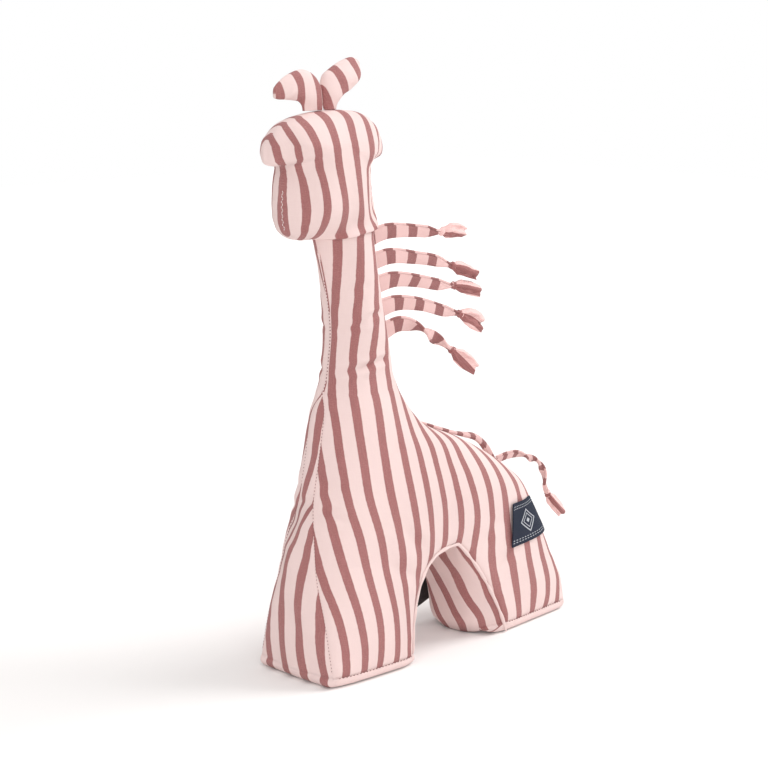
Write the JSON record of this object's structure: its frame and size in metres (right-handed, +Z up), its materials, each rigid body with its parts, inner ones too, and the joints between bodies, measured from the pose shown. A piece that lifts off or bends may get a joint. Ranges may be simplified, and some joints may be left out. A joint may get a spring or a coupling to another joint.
{
  "type": "fabric animal rattle",
  "caption": "Stuffed striped cotton giraffe on two padded feet, with knotted tapes for a mane and tail and a rattle capsule in its chest.",
  "frame": {"origin": "middle of the toy's footprint box, on the surface it stands on", "axes": "+Z up, the nose points towards -X, the side with the woven label faces -Y"},
  "size_m": [0.2402, 0.0628, 0.3268],
  "materials": {
    "striped_cotton": "plain weave, pink with dusty rose stripes",
    "gusset_cotton": "plain weave, pink with dusty rose stripes",
    "sole_cotton": "plain weave, pink with dusty rose stripes",
    "horn_cotton": "plain weave, striped across",
    "tape_cotton": "folded tape, striped across, stitched along one edge",
    "woven_label": "dense damask weave",
    "satin_tag": "satin",
    "capsule_plastic": "moulded, satin",
    "bead_plastic": "polished"
  },
  "bodies": {
    "body": {"torso": "striped_cotton", "front_leg": "striped_cotton", "rear_leg": "striped_cotton", "neck": "striped_cotton", "head": "striped_cotton", "ear_lobe_front": "striped_cotton", "ear_lobe_rear": "striped_cotton", "front_gusset": "gusset_cotton", "rear_gusset": "gusset_cotton", "arch_lining": "gusset_cotton", "front_sole": "sole_cotton", "rear_sole": "sole_cotton", "side_label": "woven_label", "capsule_top": "capsule_plastic", "capsule_bottom": "capsule_plastic"},
    "mane_1": {"mane_tape_1": "tape_cotton"},
    "mane_2": {"mane_tape_2": "tape_cotton"},
    "mane_3": {"mane_tape_3": "tape_cotton"},
    "mane_4": {"mane_tape_4": "tape_cotton"},
    "mane_5": {"mane_tape_5": "tape_cotton"},
    "tail": {"tail": "tape_cotton"},
    "horn_front": {"horn_front": "horn_cotton"},
    "horn_rear": {"horn_rear": "horn_cotton"},
    "tag": {"care_tag": "satin_tag"},
    "bead_1": {"bead_1": "bead_plastic"},
    "bead_2": {"bead_2": "bead_plastic"},
    "bead_3": {"bead_3": "bead_plastic"},
    "bead_4": {"bead_4": "bead_plastic"},
    "bead_5": {"bead_5": "bead_plastic"}
  },
  "joints": [
    {"name": "mane_1_swing", "type": "hinge", "parent": "body", "child": "mane_1", "pos_m": [-0.05083, -0.00087, 0.2325], "axis": [0, 0, 1], "range_deg": [-75, 75]},
    {"name": "mane_2_swing", "type": "hinge", "parent": "body", "child": "mane_2", "pos_m": [-0.04884, -0.00087, 0.2196], "axis": [0, 0, 1], "range_deg": [-75, 75]},
    {"name": "mane_3_swing", "type": "hinge", "parent": "body", "child": "mane_3", "pos_m": [-0.04683, -0.00087, 0.2067], "axis": [0, 0, 1], "range_deg": [-75, 75]},
    {"name": "mane_4_swing", "type": "hinge", "parent": "body", "child": "mane_4", "pos_m": [-0.044, -0.00087, 0.1938], "axis": [0, 0, 1], "range_deg": [-75, 75]},
    {"name": "mane_5_swing", "type": "hinge", "parent": "body", "child": "mane_5", "pos_m": [-0.04082, -0.00087, 0.1809], "axis": [0, 0, 1], "range_deg": [-75, 75]},
    {"name": "tail_swing", "type": "hinge", "parent": "body", "child": "tail", "pos_m": [0.0549, 0.00255, 0.094], "axis": [0, 0, 1], "range_deg": [-60, 60]},
    {"name": "horn_front_bend", "type": "hinge", "parent": "body", "child": "horn_front", "pos_m": [-0.0891, -0.00087, 0.3018], "axis": [1, 0, 0], "range_deg": [-30, 30], "stiffness_Nm_per_rad": 0.004},
    {"name": "horn_rear_bend", "type": "hinge", "parent": "body", "child": "horn_rear", "pos_m": [-0.0768, -0.00087, 0.3018], "axis": [1, 0, 0], "range_deg": [-30, 30], "stiffness_Nm_per_rad": 0.004},
    {"name": "tag_swing", "type": "hinge", "parent": "body", "child": "tag", "pos_m": [0.0231, 0.0257, 0.02], "axis": [-0.3746, 0, 0.9272], "range_deg": [-60, 0]},
    {"name": "bead_1_rattle", "type": "slide", "parent": "body", "child": "bead_1", "axis": [0, 0, 1], "range_m": [0, 0.0155]},
    {"name": "bead_2_rattle", "type": "slide", "parent": "body", "child": "bead_2", "axis": [0, 0, 1], "range_m": [0, 0.0155]},
    {"name": "bead_3_rattle", "type": "slide", "parent": "body", "child": "bead_3", "axis": [0, 0, 1], "range_m": [0, 0.0155]},
    {"name": "bead_4_rattle", "type": "slide", "parent": "body", "child": "bead_4", "axis": [0, 0, 1], "range_m": [0, 0.0155]},
    {"name": "bead_5_rattle", "type": "slide", "parent": "body", "child": "bead_5", "axis": [0, 0, 1], "range_m": [0, 0.0155]}
  ]
}
